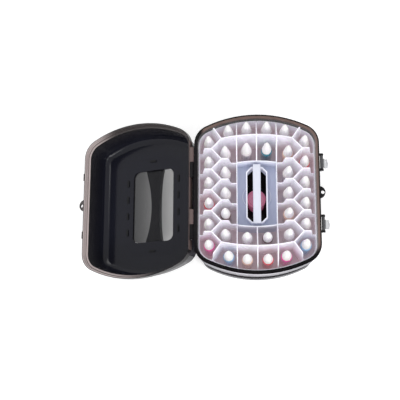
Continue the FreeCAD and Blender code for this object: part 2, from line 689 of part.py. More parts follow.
def jar_cap():
    """Stepped lid of the jar."""
    low = FLOOR + JAR_HEIGHT
    high = low + JAR_CAP_HEIGHT
    step = high - JAR_CAP_STEP
    inner = JAR_RADIUS - JAR_CAP_STEP
    return turned([(0, low), (JAR_RADIUS, low), (JAR_RADIUS, step), (inner, step), (inner, high), (0, high)], 0, JAR_Y)


def tray_nodes():
    """Every piece of the tray."""
    folds = {name: zigzag(side) for name, side in SIDES.items()}
    walls = folds["left"] + folds["right"]
    arcs = {name: arc_wall(end, walls) for name, end in ENDS.items()}
    stops = walls + arcs["front"] + arcs["rear"]
    nodes = {"tray_shell": [tray_shell()], "tray_well": [tray_well()], "tray_handle": [tray_handle()]}
    for name, side in SIDES.items():
        nodes["tray_honeycomb_" + name] = folds[name]
        nodes["tray_outer_fins_" + name] = outer_fins(side, folds[name])
        nodes["tray_inner_fins_" + name] = inner_fins(side, folds[name])
    nodes["tray_corner_fins"] = corner_fins(-1, stops) + corner_fins(1, stops)
    for name, end in ENDS.items():
        nodes["tray_arc_wall_" + name] = arcs[name]
        nodes["tray_row_fins_" + name] = row_fins(end, arcs[name])
    return nodes


def all_nodes():
    """Every node's solids by name."""
    nodes = {"base_shell": [base_shell()], "lid_shell": [lid_shell()]}
    nodes["handle_frame"] = [handle_frame()]
    nodes["handle_grip"] = [handle_grip()]
    for name, end in ENDS.items():
        nodes["hinge_pin_" + name] = [hinge_pin(end)]
    for name, y in latch_places():
        nodes["latch_" + name] = [latch(y)]
        nodes["latch_pin_" + name] = [latch_pin(y)]
    nodes.update(tray_nodes())
    nodes.update(bottle_groups())
    nodes["bottle_caps"] = [cap(*place) for place in bottle_places()]
    nodes["jar_cup"] = [jar_cup()]
    nodes["jar_cap"] = [jar_cap()]
    return nodes


os.makedirs("parts", exist_ok=True)
for node, solids in all_nodes().items():
    shape = solids[0] if len(solids) == 1 else Part.makeCompound(solids)
    shape.exportStep("parts/" + node + ".step")
    print(node, len(shape.Solids), "solids", round(shape.Volume), "mm3", shape.isValid())
print("lid swing", round(lid_swing(), 3))
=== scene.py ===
import json
import logging
import math
from dataclasses import dataclass
from enum import Enum
from typing import Iterable, Optional, Sequence, Union

import bmesh
import bpy
from mathutils import Matrix, Vector

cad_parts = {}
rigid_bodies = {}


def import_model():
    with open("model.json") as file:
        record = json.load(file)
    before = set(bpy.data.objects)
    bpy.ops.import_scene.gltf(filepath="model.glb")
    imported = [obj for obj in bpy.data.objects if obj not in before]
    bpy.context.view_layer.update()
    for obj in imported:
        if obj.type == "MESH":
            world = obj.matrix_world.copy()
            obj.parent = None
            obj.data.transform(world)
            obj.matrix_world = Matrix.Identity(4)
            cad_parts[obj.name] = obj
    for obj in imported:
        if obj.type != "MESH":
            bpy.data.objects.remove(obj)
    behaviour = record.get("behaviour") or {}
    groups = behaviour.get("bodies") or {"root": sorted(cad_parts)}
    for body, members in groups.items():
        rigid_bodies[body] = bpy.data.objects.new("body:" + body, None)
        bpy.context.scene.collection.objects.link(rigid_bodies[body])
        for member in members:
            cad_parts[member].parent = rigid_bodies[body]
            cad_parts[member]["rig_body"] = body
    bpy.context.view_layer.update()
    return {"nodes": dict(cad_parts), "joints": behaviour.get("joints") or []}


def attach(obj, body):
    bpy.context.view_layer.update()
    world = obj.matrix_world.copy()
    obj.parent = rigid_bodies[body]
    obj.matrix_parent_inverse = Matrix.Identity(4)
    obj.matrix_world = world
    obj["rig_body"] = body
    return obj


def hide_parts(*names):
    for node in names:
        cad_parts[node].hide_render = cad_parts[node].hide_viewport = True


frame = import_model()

LOG = logging.getLogger("bottle_case")
RGB = tuple[float, float, float]
Point = tuple[float, float, float]
Number = Union[float, "Sock"]
Sockets = dict[Union[str, int], object]
Profile = Sequence[tuple[float, float]]
Span = tuple["Field", float, float, float]
MIX_FIRST, MIX_SECOND, MIX_RESULT = 6, 7, 2
RIGHT, REAR, UP = Vector((1.0, 0.0, 0.0)), Vector((0.0, 1.0, 0.0)), Vector((0.0, 0.0, 1.0))
WHITE = (1.0, 1.0, 1.0, 1.0)
SHARP_ANGLE = math.radians(35.0)
MERGE = 1e-6


class Field(Enum):
    """Distance that a finish changes along, in the piece's own coordinates."""

    HEIGHT = "height"
    RIGHTWARD = "rightward"
    REARWARD = "rearward"
    RIM_INSET = "rim_inset"
    LID_DEPTH = "lid_depth"
    LID_REACH = "lid_reach"
    LID_INSET = "lid_inset"


class Sock:
    """Output socket of a shader node that does arithmetic by adding math nodes."""

    def __init__(self, graph: "Graph", socket: bpy.types.NodeSocket) -> None:
        """Wrap a socket.

        Args:
            graph: Graph that the socket belongs to.
            socket: Output socket.
        """
        self.graph = graph
        self.socket = socket

    def _op(self, name: str, first: Number, second: Number) -> "Sock":
        return self.graph.math(name, first, second)

    def __add__(self, other: Number) -> "Sock":
        return self._op("ADD", self, other)

    def __radd__(self, other: Number) -> "Sock":
        return self._op("ADD", other, self)

    def __sub__(self, other: Number) -> "Sock":
        return self._op("SUBTRACT", self, other)

    def __rsub__(self, other: Number) -> "Sock":
        return self._op("SUBTRACT", other, self)

    def __mul__(self, other: Number) -> "Sock":
        return self._op("MULTIPLY", self, other)

    def __rmul__(self, other: Number) -> "Sock":
        return self._op("MULTIPLY", other, self)

    def __pow__(self, other: Number) -> "Sock":
        return self._op("POWER", self, other)

    def __abs__(self) -> "Sock":
        return self._op("ABSOLUTE", self, 0.0)

    def smooth(self, low: float, high: float) -> "Sock":
        """Smooth step of this value.

        Args:
            low: Value that gives 0.
            high: Value that gives 1.

        Returns:
            Value from 0 to 1.
        """
        sockets: Sockets = {"Value": self, "From Min": low, "From Max": high}
        node = self.graph.node("ShaderNodeMapRange", sockets, interpolation_type="SMOOTHSTEP")
        return Sock(self.graph, node.outputs["Result"])

    def above(self, limit: float) -> "Sock":
        """Test against a limit.

        Args:
            limit: The limit.

        Returns:
            1 where this value is over the limit, and 0 elsewhere.
        """
        return self._op("GREATER_THAN", self, limit)

    def least(self, other: Number) -> "Sock":
        """Lesser of two values.

        Args:
            other: The other value.

        Returns:
            The lesser.
        """
        return self._op("MINIMUM", self, other)

    def hypotenuse(self, other: "Sock") -> "Sock":
        """Length of the vector that two values make.

        Args:
            other: The other value.

        Returns:
            The length.
        """
        return (self * self + other * other) ** 0.5


class Graph:
    """Shader node tree under construction."""

    def __init__(self, tree: bpy.types.NodeTree) -> None:
        """Empty the tree.

        Args:
            tree: Node tree of a material or of the world.
        """
        self.tree = tree
        tree.nodes.clear()

    def node(self, kind: str, sockets: Optional[Sockets] = None, **settings: object) -> bpy.types.Node:
        """Add a node.

        Args:
            kind: Node type's identifier.
            sockets: Value or wrapped socket of each input, by name or number.
            settings: Attributes of the node, which are set first.

        Returns:
            The new node.
        """
        made = self.tree.nodes.new(kind)
        for name, value in settings.items():
            setattr(made, name, value)
        for key, value in (sockets or {}).items():
            if isinstance(value, Sock):
                self.tree.links.new(value.socket, made.inputs[key])
            else:
                made.inputs[key].default_value = value
        return made

    def math(self, name: str, first: Number, second: Number) -> Sock:
        """Add a math node.

        Args:
            name: Operation.
            first: First operand.
            second: Second operand.

        Returns:
            The node's value.
        """
        return Sock(self, self.node("ShaderNodeMath", {0: first, 1: second}, operation=name).outputs[0])

    def coordinates(self) -> Sock:
        """Object coordinates.

        Returns:
            Place in the piece's own coordinates.
        """
        return Sock(self, self.node("ShaderNodeTexCoord").outputs["Object"])

    def along(self, direction: Vector, origin: Vector) -> Sock:
        """Distance along a direction from a point, in the piece's own coordinates.

        Args:
            direction: Unit direction.
            origin: Point where the distance is 0.

        Returns:
            Distance in metres.
        """
        sockets = {0: self.coordinates(), 1: direction}
        dot = self.node("ShaderNodeVectorMath", sockets, operation="DOT_PRODUCT")
        return Sock(self, dot.outputs["Value"]) - direction.dot(origin)

    def noise(self, scale: float, detail: float = 2.0) -> Sock:
        """Noise over the piece.

        Args:
            scale: Cells per metre.
            detail: Octaves.

        Returns:
            Value from 0 to 1.
        """
        sockets = {"Vector": self.coordinates(), "Scale": scale, "Detail": detail}
        return Sock(self, self.node("ShaderNodeTexNoise", sockets).outputs["Fac"])

    def shown(self) -> Sock:
        """Rays that show the background, by sight, in a reflection or through clear plastic.

        Returns:
            1 for such rays, and 0 for the others.
        """
        path = self.node("ShaderNodeLightPath")
        rays = [Sock(self, path.outputs[f"Is {kind} Ray"]) for kind in ("Camera", "Glossy", "Transmission")]
        return (rays[0] + rays[1] + rays[2]).least(1.0)

    def blend(self, factor: Number, low: object, high: object) -> Sock:
        """Mix two colours.

        Args:
            factor: 0 gives low and 1 gives high.
            low: Colour or wrapped colour.
            high: Colour or wrapped colour.

        Returns:
            The mixed colour.
        """
        first, second = (c if isinstance(c, Sock) else (*c, 1.0) for c in (low, high))
        sockets = {"Factor": factor, MIX_FIRST: first, MIX_SECOND: second}
        node = self.node("ShaderNodeMix", sockets, data_type="RGBA", clamp_factor=True)
        return Sock(self, node.outputs[MIX_RESULT])

    def bump(self, height: Sock, strength: float, distance: float) -> Sock:
        """Normal from a height.

        Args:
            height: Height field.
            strength: Share of the bump that shows.
            distance: Height in metres of a field value of 1.

        Returns:
            Normal vector.
        """
        sockets = {"Strength": strength, "Distance": distance, "Height": height}
        return Sock(self, self.node("ShaderNodeBump", sockets).outputs["Normal"])


@dataclass(frozen=True)
class Band:
    """Stretch of a piece that has a tint and an opacity apart from the rest: the part's own colour, painted light or
    painted shade.

    Each span is a field, its lowest and highest value, and half the width of its soft edges.
    """

    tint: RGB
    alpha: float
    spans: tuple[Span, ...]


@dataclass(frozen=True)
class Finish:
    """Look of one material, from its shallow end to its deep end along a field."""

    name: str
    shallow: RGB
    deep: RGB
    span: tuple[float, float]
    run: Field = Field.HEIGHT
    alpha: tuple[float, float] = (1.0, 1.0)
    bands: tuple[Band, ...] = ()
    roughness: float = 0.3
    wear: float = 0.12
    mottle: float = 0.08
    grain: float = 900.0
    bump: float = 0.08
    metallic: float = 0.0
    coat: float = 0.0
    gloss: Optional[tuple[Field, float, float]] = None
    specular: float = 0.5
    through: float = 0.0
    # painted light: strength of the piece's own glow
    glow: float = 0.0


@dataclass(frozen=True)
class LidFrame:
    """Place of the lid's rim plane at rest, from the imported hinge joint."""

    origin: Vector
    inward: Vector
    outward: Vector

    @classmethod
    def from_joint(cls, joints: Sequence[dict], name: str = "lid_hinge") -> "LidFrame":
        """Read the hinge.

        Args:
            joints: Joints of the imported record.
            name: The lid joint's name.

        Returns:
            The plane, with inward pointing from the rim to the panel and outward away from the hinge.
        """
        joint = [j for j in joints if j["name"] == name][0]
        turn = Matrix.Rotation(-math.radians(joint["range_deg"][1]), 3, Vector(joint["axis"]))
        return cls(Vector(joint["pos_m"]), turn @ UP, turn @ RIGHT)


@dataclass(frozen=True)
class RimPlan:
    """Outline of the rim: straight sides, bowed ends and round corners."""

    half_width: float = 0.102
    half_length: float = 0.1325
    end_radius: float = 0.189
    corner: float = 0.033

    def inset(self, across: Sock, along: Sock) -> Sock:
        """Distance in from the rim's edge.

        Args:
            across: Place across the case, from its middle.
            along: Place along the case, from its middle.

        Returns:
            Distance in metres.
        """
        x, y = abs(across), abs(along)
        shift = self.end_radius - self.half_length
        corner_x = self.half_width - self.corner
        corner_y = math.sqrt((self.end_radius - self.corner) ** 2 - corner_x ** 2) - shift
        turn = math.atan2(corner_y + shift, corner_x)
        edge = (self.half_width - x).least(self.end_radius - x.hypotenuse(y + shift))
        beside, beyond = x - corner_x, y - corner_y
        rounded = beyond.above(0.0) * (beside * math.sin(turn) - beyond * math.cos(turn)).above(0.0)
        return edge + rounded * (self.corner - beside.hypotenuse(beyond) - edge)


class Palette:
    """Makes each finish's material once."""

    CLOUD_SCALE, CLOUD_DETAIL = 38.0, 3.0
    BUMP_HEIGHT = 0.0002
    SCATTER = (0.006, 0.005, 0.006)

    def __init__(self, lid: LidFrame) -> None:
        """Remember the lid's plane.

        Args:
            lid: Plane that lid finishes run along.
        """
        self.lid = lid
        self.plan = RimPlan()
        self.made: dict[str, bpy.types.Material] = {}

    def distance(self, graph: Graph, run: Field) -> Sock:
        """Distance along a field.

        Args:
            graph: Graph to add nodes to.
            run: The field.

        Returns:
            Distance in metres.
        """
        axes = {Field.LID_DEPTH: (self.lid.inward, self.lid.origin),
                Field.LID_REACH: (self.lid.outward, self.lid.origin),
                Field.RIGHTWARD: (RIGHT, Vector()), Field.REARWARD: (REAR, Vector()), Field.HEIGHT: (UP, Vector())}
        if run in axes:
            return graph.along(*axes[run])
        across = Field.RIGHTWARD if run is Field.RIM_INSET else Field.LID_REACH
        middle = 0.0 if run is Field.RIM_INSET else -self.lid.origin.x
        return self.plan.inset(self.distance(graph, across) - middle, self.distance(graph, Field.REARWARD))

    def mask(self, graph: Graph, band: Band) -> Sock:
        """Where a band lies.

        Args:
            graph: Graph to add nodes to.
            band: The band.

        Returns:
            1 in the band, falling to 0 over its soft edges.
        """
        product: Optional[Sock] = None
        for run, low, high, soft in band.spans:
            distance = self.distance(graph, run)
            part = distance.smooth(low - soft, low + soft) * (1.0 - distance.smooth(high - soft, high + soft))
            product = part if product is None else product * part
        return product

    def material(self, finish: Finish) -> bpy.types.Material:
        """Material of a finish.

        Args:
            finish: The finish.

        Returns:
            The material, made on first use.
        """
        if finish.name in self.made:
            return self.made[finish.name]
        made = bpy.data.materials.new(finish.name)
        made.use_nodes = True
        graph = Graph(made.node_tree)
        place = self.distance(graph, finish.run).smooth(*finish.span)
        cloud = graph.noise(self.CLOUD_SCALE, self.CLOUD_DETAIL) - 0.5
        shift = cloud * finish.mottle
        colour = graph.blend(place + shift, finish.shallow, finish.deep)
        low, high = finish.alpha
        alpha = low + place * (high - low)
        for band in finish.bands:
            mask = self.mask(graph, band)
            colour = graph.blend(mask, colour, band.tint)
            alpha = alpha + mask * (band.alpha - alpha)
        tone = graph.node("ShaderNodeHueSaturation", {"Color": colour, "Value": 1.0 + shift})
        colour = Sock(graph, tone.outputs["Color"])
        coat: Number = finish.coat
        if finish.gloss:
            run, dull, bright = finish.gloss
            coat = self.distance(graph, run).smooth(dull, bright) * finish.coat
        sockets: Sockets = {
            "Base Color": colour, "Roughness": finish.roughness + cloud * finish.wear,
            "Normal": graph.bump(graph.noise(finish.grain), finish.bump, self.BUMP_HEIGHT),
            "Metallic": finish.metallic, "Coat Weight": coat, "Specular IOR Level": finish.specular,
            "Subsurface Weight": finish.through, "Subsurface Radius": self.SCATTER}
        if finish.alpha != (1.0, 1.0) or finish.bands:
            sockets["Alpha"] = alpha
        # painted light: the piece gives off its own colour, though no lamp is in it
        if finish.glow:
            sockets.update({"Emission Color": colour, "Emission Strength": finish.glow})
        shader = graph.node("ShaderNodeBsdfPrincipled", sockets)
        graph.node("ShaderNodeOutputMaterial", {"Surface": Sock(graph, shader.outputs["BSDF"])})
        self.made[finish.name] = made
        return made


BLACK: RGB = (0.008, 0.007, 0.008)
BROWN: RGB = (0.17, 0.115, 0.10)
# painted light: pale tint of the lid's rim on the side away from the hinge
ROSE_PAINTED_LIGHT: RGB = (0.62, 0.53, 0.52)
# painted light: pale tint of a band on the base's upper wall
PEARL_PAINTED_LIGHT: RGB = (0.80, 0.79, 0.84)
# dark tint: painted shade on the lid's rear rim, and a line round the rim
UMBER: RGB = (0.060, 0.050, 0.050)
CATCH: RGB = (0.05, 0.042, 0.042)
KNUCKLE: RGB = (0.14, 0.10, 0.095)
EVERY = 1.0  # past any place on the case, so a span that ends here has no end
FLANGE: Span = (Field.HEIGHT, 0.1192, EVERY, 0.0004)
RIM_BAND: Span = (Field.LID_DEPTH, -EVERY, 0.0100, 0.0004)
SOFT_BAND: Span = (Field.LID_DEPTH, -EVERY, 0.0100, 0.0008)
SMOKE_BASE = Finish(
    "smoked_base", (0.13, 0.13, 0.15), (0.026, 0.022, 0.024), (0.006, 0.034), alpha=(0.45, 0.76), roughness=0.10,
    wear=0.03, bump=0.005, grain=300.0, specular=0.0, coat=0.2, gloss=(Field.REARWARD, -0.100, -0.060), bands=(
        Band(BLACK, 0.97, ((Field.HEIGHT, -EVERY, 0.006, 0.001), (Field.RIM_INSET, 0.012, EVERY, 0.002))),
        # painted light: a pale band on the upper wall stands in for the lit tray seen through the clear plastic
        Band(PEARL_PAINTED_LIGHT, 0.44, ((Field.HEIGHT, 0.0670, 0.1020, 0.0020),)),
        Band(BROWN, 0.90, (FLANGE,)),
        Band(BLACK, 0.97, (FLANGE, (Field.RIM_INSET, -EVERY, 0.0022, 0.0004))),
        # painted shade: the flange turns black on its left and front sides only
        Band(BLACK, 0.97, (FLANGE, (Field.RIGHTWARD, -EVERY, -0.088, 0.004))),
        Band(BLACK, 0.97, (FLANGE, (Field.REARWARD, -EVERY, -0.090, 0.010)))))
# painted shade with a bluish painted reflection: the lid grows more opaque and bluer towards its panel
SMOKE_LID = Finish(
    "smoked_lid", (0.009, 0.008, 0.012), (0.008, 0.0085, 0.015), (0.012, 0.046), Field.LID_DEPTH, alpha=(0.90, 0.96),
    roughness=0.12, wear=0.03, bump=0.005, grain=300.0, specular=0.23, bands=(
        # painted light: the rim band is pale rose away from the hinge, where light comes through it
        Band(ROSE_PAINTED_LIGHT, 0.75, (SOFT_BAND, (Field.LID_REACH, 0.110, EVERY, 0.050))),
        # painted shade: the rim band is darker near the hinge at the rear
        Band(UMBER, 0.82, (SOFT_BAND, (Field.LID_REACH, 0.006, 0.170, 0.025), (Field.REARWARD, 0.050, EVERY, 0.020))),
        Band(BLACK, 0.90, ((Field.LID_DEPTH, 0.0090, 0.0115, 0.0004),)),
        Band(BLACK, 0.92, (RIM_BAND, (Field.LID_INSET, -0.0005, 0.0012, 0.0003))),
        Band(UMBER, 0.92, (RIM_BAND, (Field.LID_INSET, 0.0030, 0.0042, 0.0003))),
        Band(CATCH, 0.85, (RIM_BAND, (Field.LID_INSET, -EVERY, -0.0007, 0.0002),
                           (Field.LID_REACH, 0.150, EVERY, 0.001))),
        Band(KNUCKLE, 0.85, (RIM_BAND, (Field.LID_REACH, -EVERY, 0.0050, 0.0004)))))
SMOKE_FRAME = Finish("smoked_frame", (0.003, 0.003, 0.004), (0.010, 0.010, 0.012), (0.0495, 0.0530), Field.LID_DEPTH,
                     alpha=(0.96, 0.97), roughness=0.15, wear=0.06, bump=0.02, grain=300.0, specular=0.2)
# painted shade: a smoked sheet darkens the hand window, more opaque away from the hinge
WINDOW_SHADE_SHEET = Finish("smoked_pane", (0.022, 0.022, 0.025), (0.020, 0.020, 0.023), (0.062, 0.138), Field.LID_REACH,
              alpha=(0.26, 0.62), roughness=0.10, wear=0.05, bump=0.02, grain=300.0, specular=0.2)
GRIP = Finish("grip", (0.012, 0.012, 0.018), (0.020, 0.020, 0.026), (0.056, 0.074), Field.LID_DEPTH,
              roughness=0.22, wear=0.10, bump=0.04, specular=0.25)
CLEAR = Finish("clear_latch", (0.05, 0.05, 0.055), (0.62, 0.63, 0.66), (0.1085, 0.1120), Field.RIGHTWARD,
               alpha=(0.92, 0.45), roughness=0.08)
# painted shade and painted light: the tray darkens to mauve towards the cell floors and glows a little in its own
# colour
MILKY = Finish("milky_tray", (0.62, 0.52, 0.56), (0.84, 0.83, 0.90), (0.064, 0.112), roughness=0.26, wear=0.10,
               mottle=0.05, bump=0.03, grain=500.0, alpha=(0.92, 0.86), through=0.6, glow=0.17)
# painted shade and painted light: the well darkens towards its floor and glows a little in its own colour
WELL = Finish("milky_well", (0.50, 0.53, 0.66), (0.84, 0.85, 0.93), (0.092, 0.119), roughness=0.24, wear=0.10,
              mottle=0.05, bump=0.03, grain=500.0, alpha=(0.94, 0.90), through=0.4, glow=0.10, bands=(
                  Band((0.60, 0.62, 0.72), 0.95, ((Field.HEIGHT, 0.0935, 0.0960, 0.0006),)),))
# painted shade and painted light: the lip darkens towards its foot and glows a little in its own colour
LIP = Finish("milky_lip", (0.56, 0.57, 0.68), (0.78, 0.79, 0.87), (0.094, 0.108), roughness=0.24, wear=0.10,
             mottle=0.05, bump=0.03, grain=500.0, alpha=(0.90, 0.98), glow=0.12)
# painted shade: the bar darkens towards its underside
BAR = Finish("milky_bar", (0.52, 0.54, 0.65), (0.64, 0.66, 0.75), (0.100, 0.119), roughness=0.26, wear=0.10,
             mottle=0.05, bump=0.03, grain=500.0)
# painted shade: the caps darken and turn pinker towards their base
CAPS = Finish("white_cap", (0.80, 0.75, 0.73), (0.91, 0.89, 0.88), (0.112, 0.140), roughness=0.50, mottle=0.04,
              through=0.4)
STEEL = Finish("steel_pin", (0.42, 0.42, 0.44), (0.55, 0.55, 0.57), (0.115, 0.127), metallic=1.0, roughness=0.3,
               grain=2200.0)
# painted light: the jar glows a little in its own colour; it is also darker towards its foot
JAR = Finish("pink_jar", (0.58, 0.12, 0.24), (0.86, 0.28, 0.44), (0.002, 0.049), roughness=0.22, coat=0.3, glow=0.22)
PALER, PALER_FLOOR = 0.94, 0.03
BOTTLE_TINTS: dict[str, RGB] = {
    "milky": (0.66, 0.60, 0.60), "red": (0.68, 0.03, 0.05), "pink": (0.82, 0.06, 0.34), "blue": (0.26, 0.48, 0.72),
    "teal": (0.0, 0.16, 0.22), "dark": (0.12, 0.05, 0.05), "peach": (0.72, 0.46, 0.36),
}


def bottle_finish(colour: str) -> Finish:
    """Finish of the bottles that hold one colour.

    Args:
        colour: Key of BOTTLE_TINTS.

    Returns:
        The finish, a little paler towards the neck.
    """
    tint = BOTTLE_TINTS[colour]
    pale = tuple(PALER * c + PALER_FLOOR for c in tint)
    return Finish("bottle_" + colour, tint, pale, (0.069, 0.117), roughness=0.12, coat=0.6, mottle=0.12)


def islands(mesh: bpy.types.Mesh) -> list[tuple[Vector, Vector]]:
    """Boxes of a mesh's separate solids.

    Args:
        mesh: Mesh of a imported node.

    Returns:
        Lowest and highest corner of each solid, in order of place.
    """
    merged = bmesh.new()
    merged.from_mesh(mesh)
    bmesh.ops.remove_doubles(merged, verts=merged.verts, dist=MERGE)
    boxes = []
    left = set(merged.verts)
    while left:
        stack = [left.pop()]
        group = list(stack)
        while stack:
            vert = stack.pop()
            for edge in vert.link_edges:
                other = edge.other_vert(vert)
                if other in left:
                    left.discard(other)
                    stack.append(other)
                    group.append(other)
        low = Vector(min(v.co[i] for v in group) for i in range(3))
        high = Vector(max(v.co[i] for v in group) for i in range(3))
        boxes.append((low, high))
    merged.free()
    return sorted(boxes, key=lambda b: (round(b[0].y, 4), round(b[0].x, 4)))


class Turned:
    """Round piece made by spinning a profile about an upright axis."""

    SEGMENTS = 40
    FIT = 0.998

    def __init__(self, profile: Profile) -> None:
        """Keep a profile.

        Args:
            profile: Radius and height of each point, as shares of the box's half width and height.
        """
        self.profile = profile

    def add(self, mesh: bmesh.types.BMesh, low: Vector, high: Vector) -> None:
        """Spin the profile inside a box.

        Args:
            mesh: Mesh to add to.
            low: Box's lowest corner.
            high: Box's highest corner.
        """
        centre = (low + high) / 2
        radius = (high.x - low.x) / 2 * self.FIT
        tall = high.z - low.z
        verts = [mesh.verts.new((centre.x + r * radius, centre.y, low.z + h * tall)) for r, h in self.profile]
        edges = [mesh.edges.new(pair) for pair in zip(verts, verts[1:])]
        bmesh.ops.spin(mesh, geom=verts + edges, cent=centre, axis=UP, angle=math.tau,
                       steps=self.SEGMENTS, use_merge=True, use_duplicate=False)


def arc(centre: tuple[float, float], size: tuple[float, float], start: float, stop: float,
        steps: int) -> list[tuple[float, float]]:
    """Points of an elliptical arc in a profile.

    Args:
        centre: Middle of the arc.
        size: Half width and half height.
        start: First angle in degrees.
        stop: Last angle in degrees.
        steps: Number of spans.

    Returns:
        The points.
    """
    points = []
    for i in range(steps + 1):
        angle = math.radians(start + (stop - start) * i / steps)
        points.append((centre[0] + size[0] * math.cos(angle), centre[1] + size[1] * math.sin(angle)))
    return points


def plate(half_x: float, half_y: float, level: float, corner: float, segments: int) -> bmesh.types.BMesh:
    """Flat four-sided face with its corners cut or rounded.

    Args:
        half_x: Half its width.
        half_y: Half its length.
        level: Its height.
        corner: How far along the sides each corner starts.
        segments: Spans of a corner, 1 for a straight cut.

    Returns:
        A mesh of the one face.
    """
    mesh = bmesh.new()
    corners = [mesh.verts.new((sx * half_x, sy * half_y, level)) for sx, sy in ((1, 1), (-1, 1), (-1, -1), (1, -1))]
    mesh.faces.new(corners)
    bmesh.ops.bevel(mesh, geom=corners, offset=corner, affect="VERTICES", segments=segments, profile=0.5, material=-1)
    return mesh


def largest(mesh: bmesh.types.BMesh) -> bmesh.types.BMFace:
    """Face of a mesh that covers most.

    Args:
        mesh: The mesh.

    Returns:
        The face.
    """
    return max(mesh.faces, key=lambda f: f.calc_area())


@dataclass
class Assembly:
    """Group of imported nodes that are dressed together, with the pieces added to them."""

    nodes: dict[str, bpy.types.Object]
    palette: Palette

    def paint(self, obj: bpy.types.Object, finish: Finish) -> None:
        """Give an object one finish.

        Args:
            obj: The object.
            finish: Its finish.
        """
        obj.data.materials.clear()
        obj.data.materials.append(self.palette.material(finish))
        LOG.info("%s has finish %s", obj.name, finish.name)

    def settle(self, name: str, mesh: bmesh.types.BMesh, finish: Finish, beside: str, slot: str,
               instead: bool) -> None:
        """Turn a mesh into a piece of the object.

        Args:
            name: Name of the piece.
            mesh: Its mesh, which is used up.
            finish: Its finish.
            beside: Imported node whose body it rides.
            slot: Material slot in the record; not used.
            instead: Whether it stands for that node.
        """
        bmesh.ops.recalc_face_normals(mesh, faces=mesh.faces)
        data = bpy.data.meshes.new(name)
        mesh.to_mesh(data)
        mesh.free()
        obj = bpy.data.objects.new(name, data)
        bpy.context.scene.collection.objects.link(obj)
        data.shade_smooth()
        data.set_sharp_from_angle(angle=SHARP_ANGLE)
        self.paint(obj, finish)
        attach(obj, self.nodes[beside]["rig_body"])
        if instead:
            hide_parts(beside)


@dataclass
class Case(Assembly):
    """Base, lid, hinge, latches and handle."""

    pane_size: tuple[float, float] = (0.0772, 0.1252)
    pane_corner: float = 0.0106
    pane_segments: int = 8
    pane_wall: float = 0.0012
    pane_steps: tuple[tuple[float, float], ...] = ((0.0006, 0.0030), (0.0012, 0.0008), (0.0040, 0.0005))
    pane_place: tuple[float, float] = (0.100, 0.0532)
    grip_half: float = 0.063
    grip_draw: float = 0.45
    grip_grain: float = 0.012
    grip_cuts: int = 6

    def dress(self) -> None:
        """Paint the shells and levers, and close the hand window with a smoked sheet of painted shade."""
        rules = (("base_shell", SMOKE_BASE), ("lid_shell", SMOKE_LID), ("handle_frame", SMOKE_FRAME),
                 ("handle_grip", GRIP), ("latch_pin", STEEL), ("hinge_pin", STEEL), ("latch_", CLEAR))
        for start, finish in rules:
            for name, obj in self.nodes.items():
                if name.startswith(start) and not (start == "latch_" and "pin" in name):
                    self.paint(obj, finish)
        # painted shade: a sheet that darkens the hand window
        self.settle("hand_pane", self.pane(), WINDOW_SHADE_SHEET, "handle_frame", "smoked_plastic", False)
        self.settle("waisted_grip", self.grip(), GRIP, "handle_grip", "dark_plastic", True)

    def pane(self) -> bmesh.types.BMesh:
        """Dished smoked sheet in the lid's hand window, which puts painted shade in the window.

        Returns:
            The pane in place.
        """
        wide, long = self.pane_size
        mesh = plate(wide / 2, long / 2, 0.0, self.pane_corner, self.pane_segments)
        for step, sink in self.pane_steps:
            bmesh.ops.inset_region(mesh, faces=[largest(mesh)], thickness=step, use_even_offset=True)
            bmesh.ops.translate(mesh, verts=largest(mesh).verts, vec=UP * sink)
        bmesh.ops.recalc_face_normals(mesh, faces=mesh.faces)
        bmesh.ops.solidify(mesh, geom=mesh.faces[:], thickness=self.pane_wall)
        lid = self.palette.lid
        reach, depth = self.pane_place
        turn = Matrix((lid.outward, REAR, lid.inward)).transposed().to_4x4()
        place = Matrix.Translation(lid.origin + lid.outward * reach + lid.inward * depth)
        bmesh.ops.transform(mesh, matrix=place @ turn, verts=mesh.verts)
        return mesh

    def grip(self) -> bmesh.types.BMesh:
        """Grip drawn in further on its hinge side, as the photo shows its waist.

        Returns:
            The grip in place.
        """
        mesh = bmesh.new()
        mesh.from_mesh(self.nodes["handle_grip"].data)
        bmesh.ops.remove_doubles(mesh, verts=mesh.verts, dist=MERGE)
        coarse = [e for e in mesh.edges if e.calc_length() > self.grip_grain]
        bmesh.ops.subdivide_edges(mesh, edges=coarse, cuts=self.grip_cuts, use_grid_fill=True)
        lid = self.palette.lid
        for vert in mesh.verts:
            aside = (vert.co - lid.origin).dot(lid.outward) - self.pane_place[0]
            bow = 1.0 - (vert.co.y / self.grip_half) ** 2
            if aside < 0.0 and bow > 0.0:
                vert.co -= lid.outward * aside * self.grip_draw * bow
        return mesh


